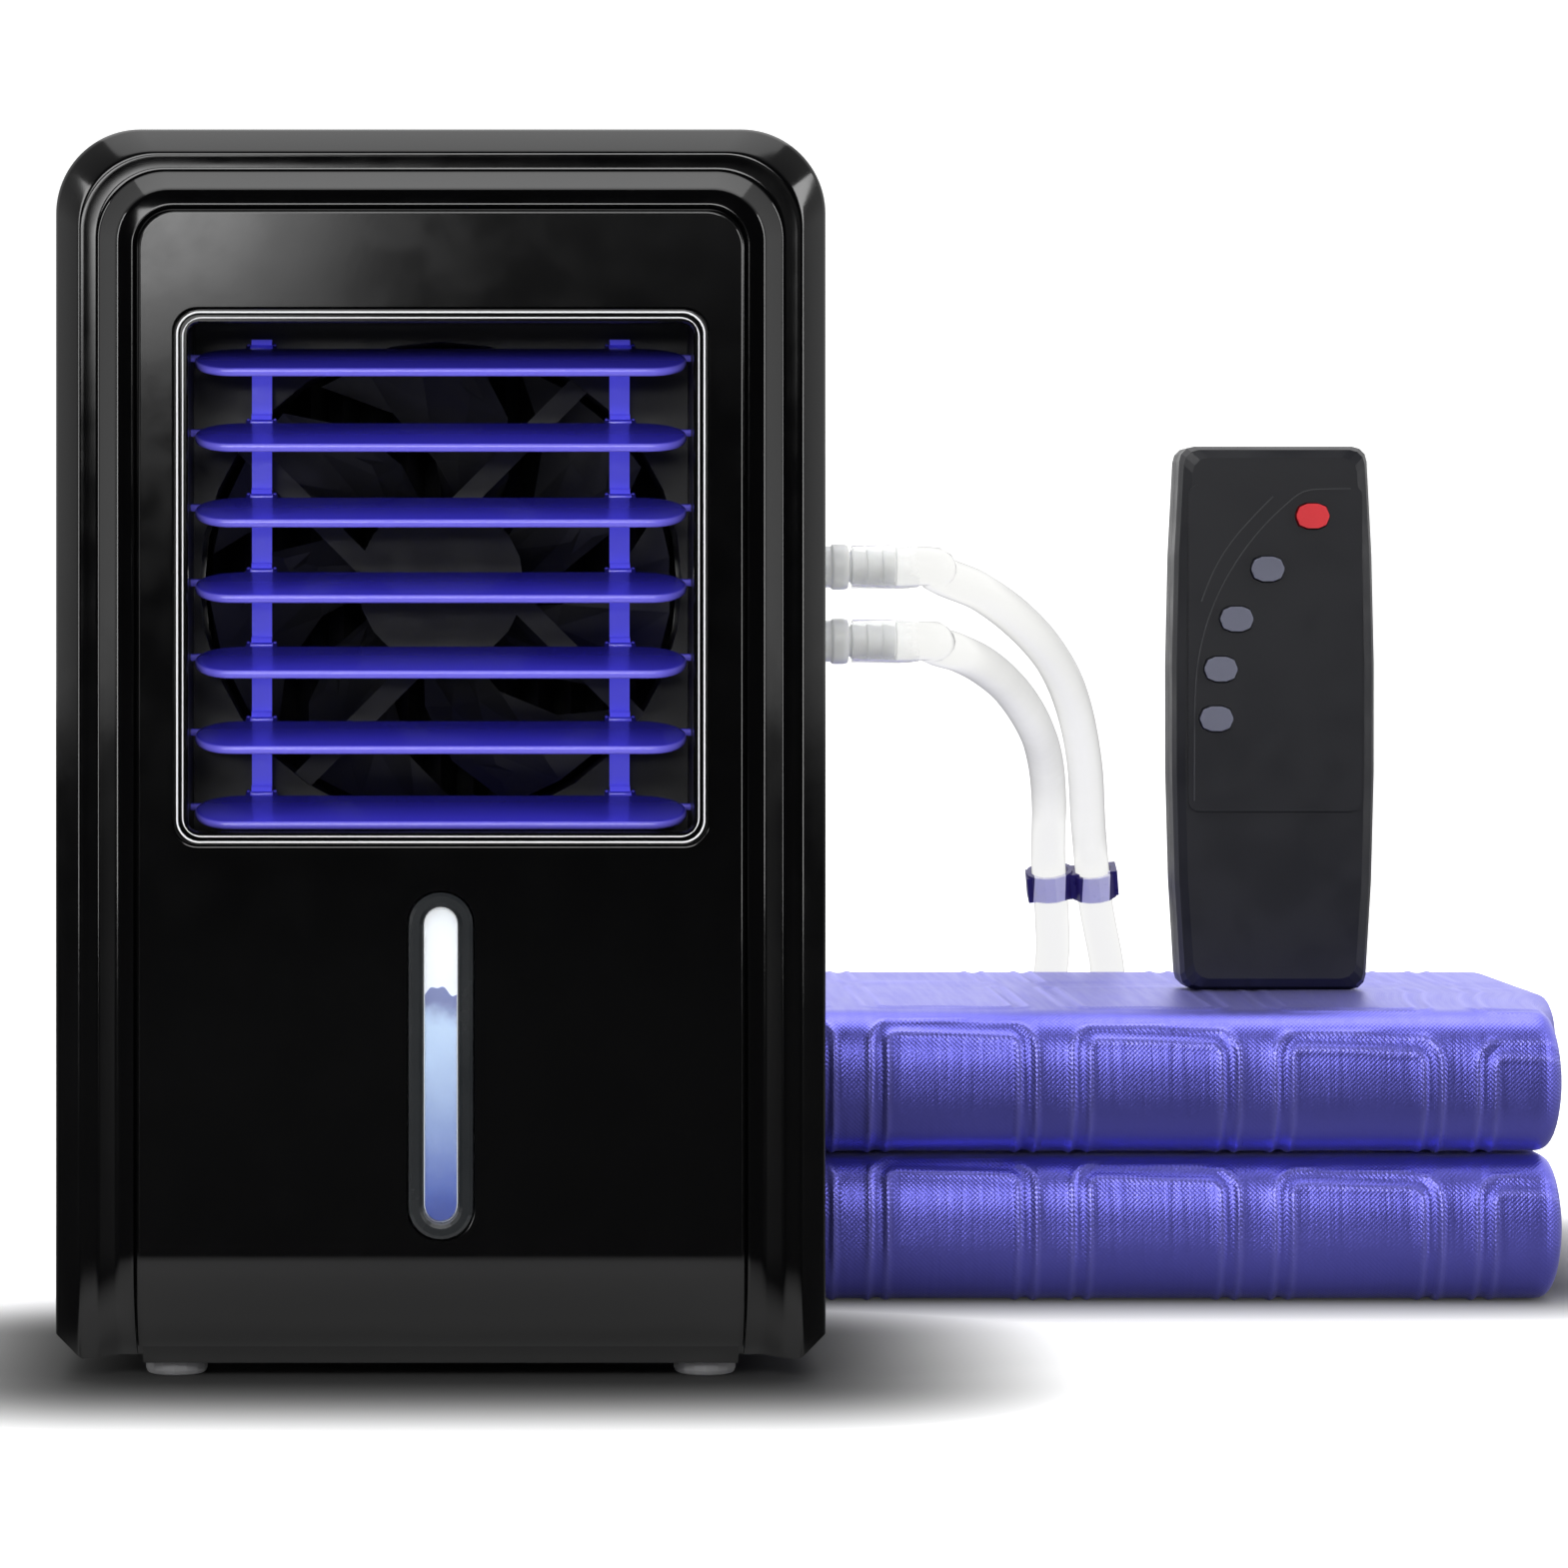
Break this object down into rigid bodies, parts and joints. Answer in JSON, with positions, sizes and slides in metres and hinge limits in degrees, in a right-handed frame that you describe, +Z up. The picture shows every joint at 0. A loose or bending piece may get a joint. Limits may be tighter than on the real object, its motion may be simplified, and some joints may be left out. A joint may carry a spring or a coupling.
{
  "type": "water cooling mattress pad",
  "caption": "Bedside water cooling unit with louvred fan outlet and water gauge, joined by two clear hoses to a folded cell pad, with a hand remote.",
  "frame": {"origin": "middle of the set's footprint on the table, without the hoses", "axes": "+X from the unit to the pad and remote, +Y from the front to the back, +Z up"},
  "size_m": [0.4215, 0.4505, 0.2955],
  "materials": {
    "gloss_black": "high gloss",
    "satin_black": "satin",
    "violet": "semi-gloss",
    "smoke_grey": "satin",
    "steel": "brushed",
    "clear": "clear",
    "milky": "translucent",
    "wick": "absorbent",
    "board_green": "solder mask",
    "indigo": "semi-gloss",
    "pad_violet": "soft coated fabric",
    "remote_black": "satin",
    "remote_face": "semi-gloss",
    "key_grey": "satin",
    "key_red": "satin",
    "foot_rubber": "matte"
  },
  "bodies": {
    "cooler": {"front_bezel": "gloss_black", "front_panel": "gloss_black", "window_trim": "gloss_black", "main_housing": "gloss_black", "louver_frame": "satin_black", "fan_frame": "satin_black", "rear_cover": "satin_black", "dc_inlet": "satin_black", "pump_body": "satin_black", "ioniser_module": "satin_black", "gauge_bezel": "smoke_grey", "fan_motor": "steel", "water_tank": "clear", "gauge_lens": "clear", "supply_port": "clear", "return_port": "clear", "pump_tube": "milky", "return_tube": "milky", "pad_nozzle_supply": "milky", "pad_nozzle_return": "milky", "hose_supply_run": "milky", "hose_supply_coil": "milky", "hose_supply_tail": "milky", "hose_return_run": "milky", "hose_return_coil": "milky", "hose_return_tail": "milky", "evaporative_wick": "wick", "control_board": "board_green", "hose_clip": "indigo", "mattress_pad": "pad_violet", "foot_front_left": "foot_rubber", "foot_front_right": "foot_rubber", "foot_rear_left": "foot_rubber", "foot_rear_right": "foot_rubber"},
    "louver_1": {"louver_blade_1": "violet"},
    "louver_2": {"louver_blade_2": "violet"},
    "louver_3": {"louver_blade_3": "violet"},
    "louver_4": {"louver_blade_4": "violet"},
    "louver_5": {"louver_blade_5": "violet"},
    "louver_6": {"louver_blade_6": "violet"},
    "louver_7": {"louver_blade_7": "violet"},
    "link_left": {"louver_link_left": "violet"},
    "link_right": {"louver_link_right": "violet"},
    "fan_rotor": {"fan_rotor": "smoke_grey"},
    "impeller": {"pump_impeller": "milky"},
    "filler_lid": {"filler_lid": "gloss_black"},
    "remote": {"remote_front_shell": "remote_black", "remote_back_shell": "remote_black", "remote_overlay": "remote_face", "remote_board": "board_green", "remote_cell_left": "steel", "remote_cell_right": "steel", "remote_ir_window": "remote_face"},
    "key_power": {"remote_key_power": "key_red"},
    "key_speed": {"remote_key_speed": "key_grey"},
    "key_cycle": {"remote_key_cycle": "key_grey"},
    "key_timer": {"remote_key_timer": "key_grey"},
    "key_ion": {"remote_key_ion": "key_grey"},
    "battery_cover": {"remote_battery_cover": "remote_black"}
  },
  "joints": [
    {"name": "louver_tilt", "type": "hinge", "parent": "cooler", "child": "louver_4", "pos_m": [-0.1018, -0.13685, 0.18835], "axis": [1, 0, 0], "range_deg": [-57, 23]},
    {"name": "louver_tilt_1", "type": "hinge", "parent": "cooler", "child": "louver_1", "pos_m": [-0.1018, -0.13685, 0.2416], "axis": [1, 0, 0], "range_deg": [-57, 23]},
    {"name": "louver_tilt_2", "type": "hinge", "parent": "cooler", "child": "louver_2", "pos_m": [-0.1018, -0.13685, 0.22385], "axis": [1, 0, 0], "range_deg": [-57, 23]},
    {"name": "louver_tilt_3", "type": "hinge", "parent": "cooler", "child": "louver_3", "pos_m": [-0.1018, -0.13685, 0.2061], "axis": [1, 0, 0], "range_deg": [-57, 23]},
    {"name": "louver_tilt_5", "type": "hinge", "parent": "cooler", "child": "louver_5", "pos_m": [-0.1018, -0.13685, 0.1706], "axis": [1, 0, 0], "range_deg": [-57, 23]},
    {"name": "louver_tilt_6", "type": "hinge", "parent": "cooler", "child": "louver_6", "pos_m": [-0.1018, -0.13685, 0.15285], "axis": [1, 0, 0], "range_deg": [-57, 23]},
    {"name": "louver_tilt_7", "type": "hinge", "parent": "cooler", "child": "louver_7", "pos_m": [-0.1018, -0.13685, 0.1351], "axis": [1, 0, 0], "range_deg": [-57, 23]},
    {"name": "link_swing_left", "type": "hinge", "parent": "louver_4", "child": "link_left", "pos_m": [-0.1446, -0.12824, 0.19098], "axis": [1, 0, 0], "range_deg": [-23, 57]},
    {"name": "link_swing_right", "type": "hinge", "parent": "louver_4", "child": "link_right", "pos_m": [-0.059, -0.12824, 0.19098], "axis": [1, 0, 0], "range_deg": [-23, 57]},
    {"name": "fan_spin", "type": "hinge", "parent": "cooler", "child": "fan_rotor", "pos_m": [-0.1018, -0.11575, 0.18835], "axis": [0, 1, 0], "continuous": true},
    {"name": "pump_spin", "type": "hinge", "parent": "cooler", "child": "impeller", "pos_m": [-0.0548, -0.12615, 0.0253], "axis": [0, 1, 0], "continuous": true},
    {"name": "filler_lid_hinge", "type": "hinge", "parent": "cooler", "child": "filler_lid", "pos_m": [-0.1018, -0.05625, 0.2941], "axis": [-1, 0, 0], "range_deg": [0, 95]},
    {"name": "remote_lift", "type": "slide", "parent": "cooler", "child": "remote", "axis": [0, 0, 1], "range_m": [0, 0.1]},
    {"name": "key_power_press", "type": "slide", "parent": "remote", "child": "key_power", "axis": [0, 1, 0], "range_m": [0, 0.001], "stiffness_N_per_m": 400, "springref_m": -0.0005},
    {"name": "key_speed_press", "type": "slide", "parent": "remote", "child": "key_speed", "axis": [0, 1, 0], "range_m": [0, 0.001], "stiffness_N_per_m": 400, "springref_m": -0.0005},
    {"name": "key_cycle_press", "type": "slide", "parent": "remote", "child": "key_cycle", "axis": [0, 1, 0], "range_m": [0, 0.001], "stiffness_N_per_m": 400, "springref_m": -0.0005},
    {"name": "key_timer_press", "type": "slide", "parent": "remote", "child": "key_timer", "axis": [0, 1, 0], "range_m": [0, 0.001], "stiffness_N_per_m": 400, "springref_m": -0.0005},
    {"name": "key_ion_press", "type": "slide", "parent": "remote", "child": "key_ion", "axis": [0, 1, 0], "range_m": [0, 0.001], "stiffness_N_per_m": 400, "springref_m": -0.0005},
    {"name": "battery_cover_slide", "type": "slide", "parent": "remote", "child": "battery_cover", "axis": [0, 1, 0], "range_m": [0, 0.02]}
  ],
  "couplings": [
    {"joint": "louver_tilt_1", "follows": "louver_tilt", "ratio": 1},
    {"joint": "louver_tilt_2", "follows": "louver_tilt", "ratio": 1},
    {"joint": "louver_tilt_3", "follows": "louver_tilt", "ratio": 1},
    {"joint": "louver_tilt_5", "follows": "louver_tilt", "ratio": 1},
    {"joint": "louver_tilt_6", "follows": "louver_tilt", "ratio": 1},
    {"joint": "louver_tilt_7", "follows": "louver_tilt", "ratio": 1},
    {"joint": "link_swing_left", "follows": "louver_tilt", "ratio": -1},
    {"joint": "link_swing_right", "follows": "louver_tilt", "ratio": -1}
  ]
}
